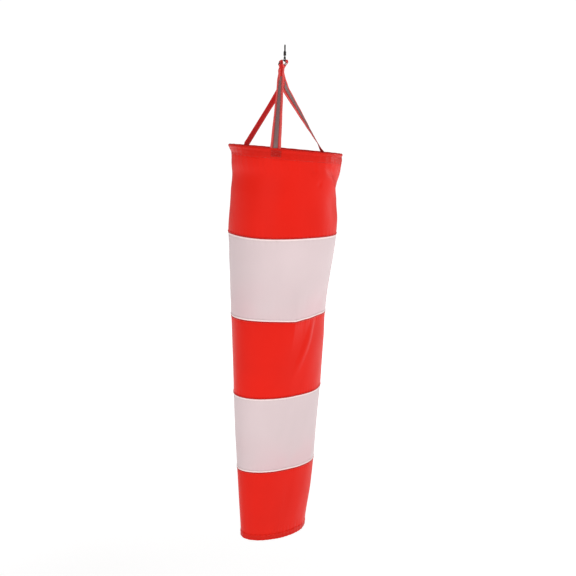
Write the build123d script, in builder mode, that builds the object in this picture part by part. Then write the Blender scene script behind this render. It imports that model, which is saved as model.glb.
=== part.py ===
"""Hanging windsock: a swivel snap hook, a ring, a three-strap harness, a wire hoop and a five-band sock.

Millimetres. The origin is the seat inside the top of the hook's bow, +Z is up and -Y is the front.
"""

import os
from math import asin, atan2, cos, degrees, radians, sin, sqrt, tan

from build123d import *

os.makedirs("parts", exist_ok=True)

# ---------------------------------------------------------------- driving dimensions
SOCK_LENGTH = 1000.0        # mouth to tail
BAND_COUNT = 5
BAND_LENGTH = SOCK_LENGTH / BAND_COUNT
CLOTH_WALL = 0.8            # thickness that the cloth solids are given
MOUTH_DROP = 241.0          # hook seat down to the middle of the mouth
MOUTH_SHIFT = 5.6           # the mouth hangs a little off the hook's axis
MOUTH_TILT = 4.0            # degrees, right side low

HOOP_RADIUS = 135.5         # middle of the hoop's wire
HOOP_WIRE = 3.2             # wire diameter
FERRULE_WIRE = 4.4          # outside of the crimped sleeve that joins the wire's ends
FERRULE_LENGTH = 22.0
HEM_DEPTH = 22.0
HEM_CHANNEL = 4.9           # inside of the hem's wire channel
HEM_WALL = 0.6

WEBBING_WIDTH = 25.0
WEBBING_THICK = 1.4
TAPE_WIDTH = 11.0           # reflective tape along each strap
TAPE_THICK = 0.3
TAB_LENGTH = 20.0           # strap end sewn inside the hem
STRAP_ANGLES = {"front": 260.3, "right": 43.5, "left": 141.0}   # where each strap meets the hoop

HOOK_WIRE = 3.6             # bow's round section
BOW_HALF = 6.3              # middle of the bow's wire, off the hook's axis
TRUNK_RADIUS = 3.2
TRUNK_BOTTOM = -21.4
GATE_PIN_AT = (-4.2, -16.0)  # y and z of the gate's pin
GATE_PIN_RADIUS = 0.8
BALL_RADIUS = 2.8
BALL_HEIGHT = -27.0
EYE_RADIUS = 3.3
EYE_WIRE = 2.2
EYE_HEIGHT = -31.6

RING_RADIUS = 10.4          # middle of the ring's wire
RING_WIRE = 2.8
RING_TOP = -32.1            # where the ring's wire hangs in the eye
RING_HEADING = 34.0         # degrees from the front towards the left
RING_LEAN = 50.0            # degrees of the ring's plane from upright
LOOP_ANGLES = {"front": 10.0, "right": 110.0, "left": -128.0}   # round the ring, from its low edge
LOOP_SPREAD = 50.0          # degrees of the ring that one folded loop covers
LOOP_LEG = (8.0, 4.0)       # width and thickness of a loop's doubled leg below the wire
GATHER_TOP = Vector(-7.8, -6.0, -57.0)       # the three doubled legs are sewn together from here
GATHER_BOTTOM = Vector(-7.4, -6.2, -86.4)    # down to here
GATHER_TOP_SIZE = (12.5, 9.0)
GATHER_BOTTOM_SIZE = (19.0, 12.0)
LEG_TIPS = {"front": (0, -3.0, -1.2), "right": (1.8, 0, -1.2), "left": (-1.0, 3.0, -1.2)}
STRAP_TOPS = {"front": Vector(-9.4, -10.7, -87.4), "right": Vector(-1.1, -3.1, -91.8),
              "left": Vector(-5.3, 1.5, -92.2)}
STRAP_TOP_WIDTH = 15.0
FAN_DROP = 45.0             # a strap opens and turns to lie flat on the hoop in this drop

SEAM_HEIGHT = 9.0
SEAM_THICK = 0.5
SEAM_GAP = 0.15

# The hanging sock's outline: drop below the mouth, half width, half depth, turn of the oval in
# degrees, and where its middle hangs along X and Y.
OUTLINES = [
    (HEM_DEPTH, 137.7, 137.7, 0, MOUTH_SHIFT, 0),
    (60, 131.5, 131.5, 0, 8, 0),
    (105, 129.5, 130, 0, 3, 0),
    (BAND_LENGTH, 132, 128, 0, 2, 0),
    (300, 128, 118, 35, -2, 0),
    (2 * BAND_LENGTH, 130, 104, 45, -4, 0),
    (500, 127, 92, 41, -4.2, 0),
    (3 * BAND_LENGTH, 122, 80, 36, -5, 1),
    (700, 116, 72, 34, -6, 3),
    (4 * BAND_LENGTH, 110, 64, 33, -6, 6),
    (900, 102, 57, 31, -7, 10),
    (SOCK_LENGTH - 16, 94, 52.5, 30, -9, 14),
    (SOCK_LENGTH, 93, 52, 30, -9.5, 15),
]
OUTLINE_POINTS = 36

# ---------------------------------------------------------------- shared frames
mouth_centre = Vector(MOUTH_SHIFT, 0, -MOUTH_DROP)
mouth_across = Vector(cos(radians(MOUTH_TILT)), 0, -sin(radians(MOUTH_TILT)))
mouth_normal = Vector(sin(radians(MOUTH_TILT)), 0, cos(radians(MOUTH_TILT)))
mouth_side = Plane(mouth_centre, x_dir=mouth_across, z_dir=mouth_across.cross(mouth_normal))
mouth_axis = Axis(mouth_centre, mouth_normal)

heading = radians(RING_HEADING)
lean = radians(RING_LEAN)
ring_front = Vector(-sin(heading), -cos(heading), 0)
ring_hinge = Vector(cos(heading), -sin(heading), 0)
ring_fall = ring_front * sin(lean) + Vector(0, 0, -cos(lean))
ring_normal = ring_front * -cos(lean) + Vector(0, 0, -sin(lean))
ring_centre = Vector(0, 0, RING_TOP) + ring_fall * RING_RADIUS


def around_ring(angle):
    """Direction from the ring's middle to its wire, at an angle from the ring's low edge."""
    turn = radians(angle)
    return ring_hinge * sin(turn) + ring_fall * cos(turn)


def keep(part, name):
    """Label one finished piece and write it."""
    part.label = name
    export_step(part, f"parts/{name}.step")
    return part


# ---------------------------------------------------------------- snap hook
with BuildPart() as snap_hook_body:
    with BuildLine() as bow_route:
        corners = [(0, 1.6, -17), (0, BOW_HALF, -11), (0, BOW_HALF, 1.8), (0, -BOW_HALF, 1.8),
                   (0, -BOW_HALF, -7)]
        FilletPolyline(*corners, radius=[3.5, BOW_HALF - 0.1, BOW_HALF - 0.1])
    with BuildSketch(Plane(bow_route.line @ 0, z_dir=bow_route.line % 0)):
        Circle(HOOK_WIRE / 2)
    sweep()
    with Locations((0, -BOW_HALF, -7)):
        Sphere(HOOK_WIRE / 2)
    with BuildSketch(Plane.XY.offset(TRUNK_BOTTOM)):
        Circle(TRUNK_RADIUS)
    extrude(amount=-12.5 - TRUNK_BOTTOM)
    with BuildSketch(Plane.YZ):
        with Locations((-3.6, -16.0)):
            RectangleRounded(5.6, 7.0, 2.2)
    extrude(amount=2.8, both=True)
    with Locations((0, 0, TRUNK_BOTTOM + 3.3 + 6)):
        Cylinder(2.2, 12, mode=Mode.SUBTRACT)
    with Locations((0, 0, TRUNK_BOTTOM + 0.9)):
        Cylinder(1.6, 8, mode=Mode.SUBTRACT)
    with Locations((0, -4.75, -15.0)):
        Box(3.3, 8.0, 9.0, mode=Mode.SUBTRACT)
    with BuildSketch(Plane.YZ):
        with Locations(GATE_PIN_AT):
            Circle(GATE_PIN_RADIUS + 0.01)
    extrude(amount=5, both=True, mode=Mode.SUBTRACT)
keep(snap_hook_body.part, "snap_hook_body")

with BuildPart() as gate_pin:
    with BuildSketch(Plane.YZ):
        with Locations(GATE_PIN_AT):
            Circle(GATE_PIN_RADIUS)
    extrude(amount=3.1, both=True)
    chamfer(gate_pin.edges().filter_by(GeomType.CIRCLE), 0.2)
keep(gate_pin.part, "gate_pin")

with BuildPart() as snap_gate:
    with BuildSketch(Plane.YZ.offset(-1.5)):
        with Locations(GATE_PIN_AT):
            Circle(2.0)
        with BuildLine():
            Polyline((-5.6, -16), (-4.3, -12), (-2.8, -12), (-2.4, -16), close=True)
        make_face()
    extrude(amount=1.7)
    with BuildSketch(Plane.YZ):
        with BuildLine():
            Polyline((-4.3, -13.9), (-4.2, -12.4), (-7.0, -11.7), (-7.0, -10.6), (-4.2, -10.2),
                     (-4.2, -5.4), (-3.4, -4.6), (-2.7, -5.4), (-2.6, -13.9), close=True)
        make_face()
    extrude(amount=1.45, both=True)
    with BuildSketch(Plane.YZ):
        with Locations(GATE_PIN_AT):
            Circle(GATE_PIN_RADIUS + 0.06)
    extrude(amount=3, both=True, mode=Mode.SUBTRACT)
keep(snap_gate.part, "snap_gate")

with BuildPart() as gate_spring:
    pin_centre = (0.45, *GATE_PIN_AT)
    with BuildLine() as coil:
        Helix(pitch=0.45, height=0.9, radius=1.3, center=pin_centre, direction=(1, 0, 0))
    with BuildSketch(Plane(coil.line @ 0, z_dir=coil.line % 0)):
        Circle(0.18)
    sweep()
keep(gate_spring.part, "gate_spring")

# ---------------------------------------------------------------- swivel and ring
with BuildPart() as swivel_collar:
    with BuildSketch(Plane.XY.offset(TRUNK_BOTTOM - 1.9)):
        Circle(2.7)
        Circle(1.65, mode=Mode.SUBTRACT)
    extrude(amount=1.7)
    fillet(swivel_collar.edges().filter_by(GeomType.CIRCLE).sort_by(SortBy.RADIUS)[-2:], 0.5)
keep(swivel_collar.part, "swivel_collar")

with BuildPart() as swivel_eye:
    with Locations((0, 0, BALL_HEIGHT)):
        Sphere(BALL_RADIUS)
    with BuildSketch(Plane.XY.offset(BALL_HEIGHT)):
        Circle(1.5)
    extrude(amount=9.3)
    with BuildSketch(Plane.XY.offset(BALL_HEIGHT + 9.1)):
        Circle(2.05)
    extrude(amount=1.2)
    with Locations(Plane((0, 0, EYE_HEIGHT), x_dir=(0, 0, 1), z_dir=ring_hinge)):
        Torus(EYE_RADIUS, EYE_WIRE / 2)
keep(swivel_eye.part, "swivel_eye")

with BuildPart() as suspension_ring:
    with Locations(Plane(ring_centre, x_dir=ring_hinge, z_dir=ring_normal)):
        Torus(RING_RADIUS, RING_WIRE / 2)
keep(suspension_ring.part, "suspension_ring")

# ---------------------------------------------------------------- mouth hoop and hem
FERRULE_SPAN = degrees(FERRULE_LENGTH / HOOP_RADIUS)

with BuildPart() as mouth_hoop:
    with BuildSketch(mouth_side):
        with Locations((HOOP_RADIUS, 0)):
            Circle(HOOP_WIRE / 2)
    revolve(axis=mouth_axis)
keep(mouth_hoop.part, "mouth_hoop")

ferrule_start = radians(90 - FERRULE_SPAN / 2)
ferrule_out = mouth_across * cos(ferrule_start) + Vector(0, 1, 0) * sin(ferrule_start)
with BuildPart() as hoop_ferrule:
    with BuildSketch(Plane(mouth_centre, x_dir=ferrule_out, z_dir=ferrule_out.cross(mouth_normal))):
        with Locations((HOOP_RADIUS, 0)):
            Circle(FERRULE_WIRE / 2)
            Circle(HOOP_WIRE / 2, mode=Mode.SUBTRACT)
    revolve(axis=mouth_axis, revolution_arc=FERRULE_SPAN)
keep(hoop_ferrule.part, "hoop_ferrule")

with BuildPart() as mouth_hem:
    hem_half = HEM_CHANNEL / 2 + HEM_WALL
    hem_outside = HOOP_RADIUS + hem_half
    with BuildSketch(mouth_side):
        with Locations((HOOP_RADIUS, 0)):
            Circle(hem_half)
        with BuildLine():
            Polyline((hem_outside, 0), (hem_outside, -HEM_DEPTH),
                     (hem_outside - 2 * CLOTH_WALL, -HEM_DEPTH), (hem_outside - 2 * CLOTH_WALL, -9),
                     (HOOP_RADIUS - 2.0, -2.2), (HOOP_RADIUS, 0), close=True)
        make_face()
        with Locations((HOOP_RADIUS, 0)):
            Circle(HEM_CHANNEL / 2, mode=Mode.SUBTRACT)
    revolve(axis=mouth_axis)
keep(mouth_hem.part, "mouth_hem")


# ---------------------------------------------------------------- harness
def strap_frame(name):
    """The strap's run: its foot at the hoop, its top under the sewn gather, and its flat direction."""
    turn = radians(STRAP_ANGLES[name])
    outward = mouth_across * cos(turn) + Vector(0, 1, 0) * sin(turn)
    flat = mouth_across * -sin(turn) + Vector(0, 1, 0) * cos(turn)
    inset = HOOP_RADIUS - HEM_CHANNEL / 2 - HEM_WALL - WEBBING_THICK / 2 - 1.2
    foot = mouth_centre + outward * inset + mouth_normal * 1.0
    return foot, STRAP_TOPS[name], flat, outward


def bar_end(centre, flat, run, width, thick):
    """One cut across a strap or tape."""
    with BuildSketch(Plane(centre, x_dir=flat, z_dir=run)) as cut:
        Rectangle(width, thick)
    return cut.sketch.face()


def strap(name):
    foot, top, flat, outward = strap_frame(name)
    run = top - foot
    fan = foot + run * (1 - FAN_DROP / abs(run.Z))
    across = Vector(1, 0, 0)
    across = across if across.dot(flat) > 0 else across * -1
    low_end = bar_end(foot, flat, run, WEBBING_WIDTH, WEBBING_THICK)
    fan_end = bar_end(fan, flat, run, WEBBING_WIDTH, WEBBING_THICK)
    top_end = bar_end(top, across, run, STRAP_TOP_WIDTH, WEBBING_THICK)
    with BuildPart() as webbing:
        loft([low_end, fan_end], ruled=True)
        loft([fan_end, top_end], ruled=True)
        with BuildSketch(Plane(foot + mouth_normal * 0.4, x_dir=flat, z_dir=mouth_normal)):
            Rectangle(WEBBING_WIDTH, WEBBING_THICK)
        extrude(amount=-TAB_LENGTH)
    return keep(webbing.part, f"strap_{name}")


def reflective_tape(name):
    foot, top, flat, outward = strap_frame(name)
    run = top - foot
    share = 1 - FAN_DROP / abs(run.Z)
    across = Vector(1, 0, 0)
    across = across if across.dot(flat) > 0 else across * -1
    lift = (WEBBING_THICK + TAPE_THICK) / 2 + 0.05
    ends = []
    for place, side, narrow in ((0.01, flat, 1), (share, flat, 1), (1, across, STRAP_TOP_WIDTH / WEBBING_WIDTH)):
        side = (side - run * (side.dot(run) / run.dot(run))).normalized()
        face = side.cross(run.normalized())
        face = face if face.dot(outward) > 0 else face * -1
        ends.append(bar_end(foot + run * place + face * lift, side, run, TAPE_WIDTH * narrow, TAPE_THICK))
    with BuildPart() as tape:
        loft(ends[:2], ruled=True)
        loft(ends[1:], ruled=True)
    return keep(tape.part, f"reflective_tape_{name}")


def strap_bundle():
    """Three folded loops round the ring's wire, whose doubled legs are sewn together in one gather."""
    sleeve = RING_WIRE / 2 + 0.5
    down = GATHER_BOTTOM - GATHER_TOP
    with BuildPart() as bundle:
        loft([bar_end(GATHER_TOP, Vector(1, 0, 0), down, *GATHER_TOP_SIZE),
              bar_end(GATHER_BOTTOM, Vector(1, 0, 0), down, *GATHER_BOTTOM_SIZE)], ruled=True)
        for name, angle in LOOP_ANGLES.items():
            wire = ring_centre + around_ring(angle) * RING_RADIUS
            tangent = around_ring(angle + 90)
            tip = GATHER_TOP + Vector(*LEG_TIPS[name])
            leg = (tip - wire).normalized()
            across = tangent if tangent.X > 0 else tangent * -1
            loft([bar_end(wire + leg * (sleeve + 0.9), across, leg, *LOOP_LEG),
                  bar_end(tip, Vector(1, 0, 0), leg, 9.0, 2 * WEBBING_THICK)], ruled=True)
            start = around_ring(angle + LOOP_SPREAD / 2)
            with BuildSketch(Plane(ring_centre, x_dir=start, z_dir=start.cross(ring_normal))):
                with Locations((RING_RADIUS, 0)):
                    Circle(sleeve + WEBBING_THICK)
            revolve(axis=Axis(ring_centre, ring_normal), revolution_arc=LOOP_SPREAD)
        with BuildSketch(Plane(ring_centre, x_dir=ring_fall, z_dir=ring_fall.cross(ring_normal))):
            with Locations((RING_RADIUS, 0)):
                Circle(sleeve)
        revolve(axis=Axis(ring_centre, ring_normal), mode=Mode.SUBTRACT)
    return keep(bundle.part, "strap_bundle")


for side in STRAP_ANGLES:
    strap(side)
    reflective_tape(side)
strap_bundle()


# ---------------------------------------------------------------- sock
def outline_at(drop):
    """Half width, half depth, turn and middle of the cut at a drop, straight between outlines."""
    for upper, lower in zip(OUTLINES, OUTLINES[1:]):
        if upper[0] <= drop <= lower[0]:
            share = (drop - upper[0]) / (lower[0] - upper[0])
            return [a + (b - a) * share for a, b in zip(upper[1:], lower[1:])]
    return list(OUTLINES[0][1:])


def section_plane(drop):
    """The cut through the sock at a drop: as tilted as the mouth at the top, level from the first seam."""
    across, back = outline_at(drop)[3:]
    tilt = radians(MOUTH_TILT) * max(0.0, 1 - (drop - HEM_DEPTH) / (BAND_LENGTH - HEM_DEPTH))
    middle = Vector(across, back, -MOUTH_DROP - drop)
    if drop <= HEM_DEPTH:
        middle = mouth_centre - mouth_normal * drop
    return Plane(middle, x_dir=(cos(tilt), 0, -sin(tilt)), z_dir=(sin(tilt), 0, cos(tilt)))


def reach(drop, angle, grow):
    """Distance from the sock's middle to its cloth at an angle, made larger by grow."""
    half_width, half_depth, turn = outline_at(drop)[:3]
    a = half_width + grow
    b = half_depth + grow
    bearing = angle - radians(turn)
    return a * b / sqrt((b * cos(bearing)) ** 2 + (a * sin(bearing)) ** 2)


def outline(drop, grow):
    """The sock's cut at a drop, as a flat face out to its cloth, made larger by grow."""
    angles = [radians(360 * step / OUTLINE_POINTS) for step in range(OUTLINE_POINTS)]
    points = [(reach(drop, t, grow) * cos(t), reach(drop, t, grow) * sin(t)) for t in angles]
    with BuildSketch(section_plane(drop)) as cut:
        with BuildLine():
            Spline(*points, periodic=True)
        make_face()
    return cut.sketch.face()


def tube(name, drops, grow, wall):
    """A tube of cloth through several cuts of the sock."""
    with BuildPart() as cloth:
        loft([outline(drop, grow) for drop in drops], ruled=True)
        loft([outline(drop, grow - wall) for drop in drops], ruled=True, mode=Mode.SUBTRACT)
    return keep(cloth.part, name)


BAND_NAMES = ["band_1_red", "band_2_white", "band_3_red", "band_4_white", "band_5_red"]
TAIL_HEM_TOP = SOCK_LENGTH - 16
for number, name in enumerate(BAND_NAMES):
    top = max(HEM_DEPTH, number * BAND_LENGTH)
    bottom = min(TAIL_HEM_TOP, (number + 1) * BAND_LENGTH)
    between = [row[0] for row in OUTLINES if top < row[0] < bottom]
    tube(name, [top, *between, bottom], 0, CLOTH_WALL)

for number in range(1, BAND_COUNT):
    seam_drop = number * BAND_LENGTH
    drops = [seam_drop - SEAM_HEIGHT / 2, seam_drop, seam_drop + SEAM_HEIGHT / 2]
    tube(f"seam_{number}", drops, SEAM_GAP + SEAM_THICK, SEAM_THICK)

tube("tail_hem", [TAIL_HEM_TOP, SOCK_LENGTH], 0, 2 * CLOTH_WALL)

# The seam that closes the cut cloth into a tube runs down the back.
BACK_ANGLE = radians(90)
BACK_THICK = 1.0
BACK_LIFT = 2 * SEAM_GAP + SEAM_THICK + BACK_THICK / 2 + 0.3
back_drops = [HEM_DEPTH + 3, *[row[0] for row in OUTLINES[1:-2]], TAIL_HEM_TOP - 2]
back_cuts = []
for drop in back_drops:
    plane = section_plane(drop)
    spots = []
    for bearing in (BACK_ANGLE - 0.03, BACK_ANGLE, BACK_ANGLE + 0.03):
        away = reach(drop, bearing, BACK_LIFT)
        spots.append(plane.origin + plane.x_dir * away * cos(bearing) + Vector(0, away * sin(bearing)))
    back_cuts.append(bar_end(spots[1], spots[2] - spots[0], plane.z_dir, SEAM_HEIGHT, BACK_THICK))
with BuildPart() as back_seam:
    loft(back_cuts, ruled=True)
keep(back_seam.part, "back_seam")
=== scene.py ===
"""Looks of the hanging windsock: sewn nylon bands, wired mouth hem, webbing harness and nickel snap hook."""

import math
from math import atan2, cos, degrees, hypot, radians, sin, sqrt

import bmesh
import bpy
from bpy.props import FloatProperty, FloatVectorProperty, IntProperty, PointerProperty
from mathutils import Matrix, Vector


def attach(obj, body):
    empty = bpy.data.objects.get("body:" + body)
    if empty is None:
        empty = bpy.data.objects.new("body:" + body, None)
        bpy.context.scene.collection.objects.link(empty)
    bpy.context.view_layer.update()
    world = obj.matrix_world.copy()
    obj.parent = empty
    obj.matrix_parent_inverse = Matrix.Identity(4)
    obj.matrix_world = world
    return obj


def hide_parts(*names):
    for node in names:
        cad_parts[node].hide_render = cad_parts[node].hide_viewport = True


bl_info = {
    "name": "Hanging Windsock",
    "version": (1, 0, 0),
    "blender": (4, 5, 0),
    "location": "View3D > Sidebar > Windsock",
    "description": "Makes a five-band windsock's cloth, webbing, stitching and finishes round its frame",
    "category": "Add Mesh",
}

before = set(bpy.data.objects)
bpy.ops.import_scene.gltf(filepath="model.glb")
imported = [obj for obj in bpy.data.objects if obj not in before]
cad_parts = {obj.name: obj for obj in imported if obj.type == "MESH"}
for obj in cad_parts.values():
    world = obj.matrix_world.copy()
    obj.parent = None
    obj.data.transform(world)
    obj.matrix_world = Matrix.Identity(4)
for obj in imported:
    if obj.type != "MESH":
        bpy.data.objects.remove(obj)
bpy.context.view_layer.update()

# ---- sizes shared with the frame, in millimetres
MM = 0.001
BAND = 200.0
SOCK = 1000.0
HEM = 22.0
TAIL_HEM = SOCK - 16
MOUTH = Vector((5.6, 0, -241))
TILT = radians(4)
ACROSS = Vector((cos(TILT), 0, -sin(TILT)))
UPWARD = Vector((sin(TILT), 0, cos(TILT)))
BACKWARD = Vector((0, 1, 0))
HOOP = 135.5
# how far a band reaches up under the one above, half a felled seam, and its stitches off its middle
LAP = 4.0
SEAM_HALF = 4.5
STITCH_ROW = 3.0
# the hem's row of stitches below the hoop, and the boxes sewn through it: half width, top and foot
HEM_ROW = 19.4
BOX_HALF, BOX_TOP, BOX_FOOT = 10.5, 3, 15
# a strap's foot on the hoop, its sewn tab, and how far its folded end lies behind its face
STRAP_REACH = 130.5
STRAP_RISE = 1.0
TAB = 20.0
TAB_END = -0.95
DOUBLED = 1.6
# each tape's start along its strap, its lift and that of its stitches, and how near its edge they run
TAPE_START = 0.012
TAPE_LIFT = 0.95
TAPE_ROW_LIFT = 1.16
TAPE_ROW = 0.86
# flat cloth in metres for each radian round the sock, and round its tail
CUT_RADIUS = 0.12
TAIL_CUT_RADIUS = 0.075
# bearing of each strap's foot, and how far round from it its boxed tab is sewn
STRAP_FEET = {"front": 260.3, "right": 43.5, "left": 141.0}
TAB_SWING = 1.4

# drop below the mouth, half width, half depth, turn of the oval, and its middle along X and Y
OUTLINES = (
    (0, 138.2, 138.2, 0, 5.6, 0),
    (HEM, 137.7, 137.7, 0, 5.6, 0),
    (60, 131.5, 131.5, 0, 8, 0),
    (105, 129.5, 130, 0, 3, 0),
    (BAND, 132, 128, 0, 2, 0),
    (300, 128, 118, 35, -2, 0),
    (2 * BAND, 130, 104, 45, -4, 0),
    (500, 127, 92, 41, -4.2, 0),
    (3 * BAND, 122, 80, 36, -5, 1),
    (700, 116, 72, 34, -6, 3),
    (4 * BAND, 110, 64, 33, -6, 6),
    (900, 102, 57, 31, -7, 10),
    (TAIL_HEM, 94, 52.5, 30, -9, 14),
    (SOCK, 93, 52, 30, -9.5, 15),
)

RING_TURN = radians(34)
RING_LEAN = radians(50)
RING_AHEAD = Vector((-sin(RING_TURN), -cos(RING_TURN), 0))
RING_HINGE = Vector((cos(RING_TURN), -sin(RING_TURN), 0))
RING_FALL = RING_AHEAD * sin(RING_LEAN) - Vector((0, 0, cos(RING_LEAN)))
RING_NORMAL = RING_AHEAD * -cos(RING_LEAN) - Vector((0, 0, sin(RING_LEAN)))
RING_RADIUS = 10.4
RING_CENTRE = Vector((0, 0, -32.1)) + RING_FALL * RING_RADIUS


# ---- settings
def colour_setting(name, description, default):
    return FloatVectorProperty(name=name, description=description, subtype="COLOR", size=3, min=0, max=1,
                               default=default)


def size_setting(name, description, default):
    return FloatProperty(name=name, description=description, default=default, unit="LENGTH")


class WindsockCloth(bpy.types.PropertyGroup):
    red: colour_setting("Red cloth", "Colour of the red nylon", (0.78, 0.012, 0.004))
    white: colour_setting("White cloth", "Colour of the white nylon", (0.73, 0.60, 0.612))
    thickness: size_setting("Cloth thickness", "Thickness of the coated nylon", 0.00035)
    folds: FloatProperty(name="Folds", description="Depth of the soft folds and creases, as a share",
                         default=1.0, min=0, max=2, subtype="FACTOR")
    turns: IntProperty(name="Cloth detail", description="Points round the sock", default=288, min=72, max=400)
    stitch: size_setting("Stitch length", "Length of one stitch", 0.0031)
    thread: size_setting("Thread", "Thickness of the sewing thread", 0.00042)


class WindsockHarness(bpy.types.PropertyGroup):
    webbing: colour_setting("Webbing", "Colour of the strap webbing", (0.60, 0.020, 0.018))
    tape: colour_setting("Reflective tape", "Colour of the grey reflective tape", (0.215, 0.120, 0.116))
    nickel: colour_setting("Nickel", "Colour of the plated hook and ring", (0.30, 0.29, 0.28))
    width: size_setting("Webbing width", "Full width of the webbing", 0.025)
    thickness: size_setting("Webbing thickness", "Thickness of the webbing", 0.0014)
    tape_width: size_setting("Tape width", "Width of the reflective tape", 0.0115)


class WindsockStage(bpy.types.PropertyGroup):
    floor_drop: size_setting("Floor", "Height of the floor under the hook", -2.1)
    camera_at: FloatVectorProperty(name="Camera", description="Place of the camera", size=3,
                                   subtype="TRANSLATION", unit="LENGTH", default=(0.018, -1.9, -0.215))
    camera_pitch: FloatProperty(name="Pitch", description="How far the camera looks down", subtype="ANGLE",
                                default=radians(10.9))
    camera_roll: FloatProperty(name="Roll", description="How far the camera leans", subtype="ANGLE",
                               default=0.019)
    lens: FloatProperty(name="Lens", description="Focal length in millimetres", default=48.36)


# ---- materials
WEAVE_PITCH = 0.00046
NYLON_SHEEN = {"Sheen_Weight": 0.03, "Sheen_Roughness": 0.35, "Specular_IOR_Level": 0.15,
               "Specular_Tint": (1.0, 0.72, 0.70)}


class Wire:
    """One socket of a node tree, with arithmetic that adds Math nodes."""

    def __init__(self, shop, socket):
        self.shop, self.socket = shop, socket

    def __add__(self, other):
        return self.shop.reckon("ADD", self, other)

    def __sub__(self, other):
        return self.shop.reckon("SUBTRACT", self, other)

    def __mul__(self, other):
        return self.shop.reckon("MULTIPLY", self, other)

    def __truediv__(self, other):
        return self.shop.reckon("DIVIDE", self, other)

    __rmul__ = __mul__


class Finish:
    """One procedural material: a Principled shader and the nodes that feed it."""

    def __init__(self, name):
        self.material = bpy.data.materials.new(name)
        self.material.use_nodes = True
        self.tree = self.material.node_tree
        self.shader = next(n for n in self.tree.nodes if n.type == "BSDF_PRINCIPLED")

    def node(self, kind, settings, sockets, out=0):
        """Adds a node, sets it up, then fills its sockets with values or wires."""
        made = self.tree.nodes.new("ShaderNode" + kind)
        for key, value in settings.items():
            setattr(made, key, value)
        for key, value in sockets.items():
            self.fill(made.inputs[key], value)
        return Wire(self, made.outputs[out])

    def reckon(self, operation, *values):
        return self.node("Math", {"operation": operation}, dict(enumerate(values)))

    def fill(self, socket, value):
        if isinstance(value, Wire):
            self.tree.links.new(value.socket, socket)
        elif socket.type == "RGBA":
            socket.default_value = (*value[:3], 1)
        else:
            socket.default_value = value

    def mix(self, share, first, second, blend="MIX"):
        """Mixes two colours."""
        made = self.tree.nodes.new("ShaderNodeMix")
        made.data_type, made.blend_type = "RGBA", blend
        for socket, value in zip((made.inputs[0], made.inputs[6], made.inputs[7]), (share, first, second)):
            self.fill(socket, value)
        return Wire(self, made.outputs[2])

    def object_point(self):
        return self.node("TexCoord", {}, {}, "Object")

    def cut(self):
        """The piece's own flat cut, in metres: the point, then U round or across it and V along it."""
        point = self.node("TexCoord", {}, {}, "UV")
        apart = self.node("SeparateXYZ", {}, {0: point})
        return point, apart, Wire(self, apart.socket.node.outputs[1])

    def noise(self, point, scale, detail=3.0, roughness=0.5):
        return self.node("TexNoise", {}, {"Vector": point, "Scale": scale, "Detail": detail,
                                          "Roughness": roughness})

    def stretched(self, point, scale):
        return self.node("Mapping", {}, {"Vector": point, "Scale": scale})

    def wave(self, value, period):
        """0 to 1 and back once in each period of the value."""
        return self.reckon("SINE", value * (2 * math.pi / period)) * 0.5 + 0.5

    def step(self, value, low, high):
        """0 below low, 1 above high, smooth between."""
        return self.node("MapRange", {"interpolation_type": "SMOOTHSTEP"},
                         {"Value": value, "From Min": low, "From Max": high})

    def slub(self, point):
        """Uneven thickness along each thread."""
        return self.noise(self.stretched(point, (1.0, 0.08, 1.0)), 900.0, 2.0)

    def weave(self, across, along):
        """The fine plain weave: its threads and their relief."""
        threads = self.wave(across, WEAVE_PITCH) * self.wave(along, WEAVE_PITCH)
        return threads, self.bump(threads, 0.18, 0.00006)

    def bump(self, height, strength, distance, onto=None):
        sockets = {"Height": height, "Strength": strength, "Distance": distance}
        if onto is not None:
            sockets["Normal"] = onto
        return self.node("Bump", {}, sockets)

    def made(self, **sockets):
        for key, value in sockets.items():
            self.fill(self.shader.inputs[key.replace("_", " ")], value)
        return self.material


def shade(colour, share):
    """A colour made darker or lighter."""
    return tuple(min(1.0, part * share) for part in colour)


def nylon(name, colour, bounce_colour, glow):
    """Coated taffeta: fine plain weave, ripstop-fine slubs, soft mottling, a low sheen and painted bounced
    light from the next band.
    """
    shop = Finish(name)
    point, across, along = shop.cut()
    soft = shop.noise(point, 7.0, 2.0)
    slub = shop.slub(point)
    threads, weave = shop.weave(across, along)
    mottled = shop.mix(shop.step(soft, 0.35, 0.7), shade(colour, 0.965), colour)
    mottled = shop.mix(slub * 0.10, mottled, shade(colour, 0.86))
    # painted bounced light: the next band's colour tints the lower part of each band, in soft patches
    bounce_towards_foot = shop.step(along - 0.2 * shop.reckon("FLOOR", along / 0.2), 0.075, 0.2)
    bounce_tinted = shop.mix(bounce_towards_foot * shop.step(soft, 0.2, 0.8) * glow, mottled, bounce_colour)
    near = shop.mix(threads * 0.05, bounce_tinted, shade(colour, 0.9))
    cockle = shop.bump(shop.noise(point, 42.0, 2.0), 0.10, 0.0012, weave)
    return shop.made(Base_Color=near, Roughness=slub * 0.08 + 0.40, Normal=cockle, **NYLON_SHEEN)


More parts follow.
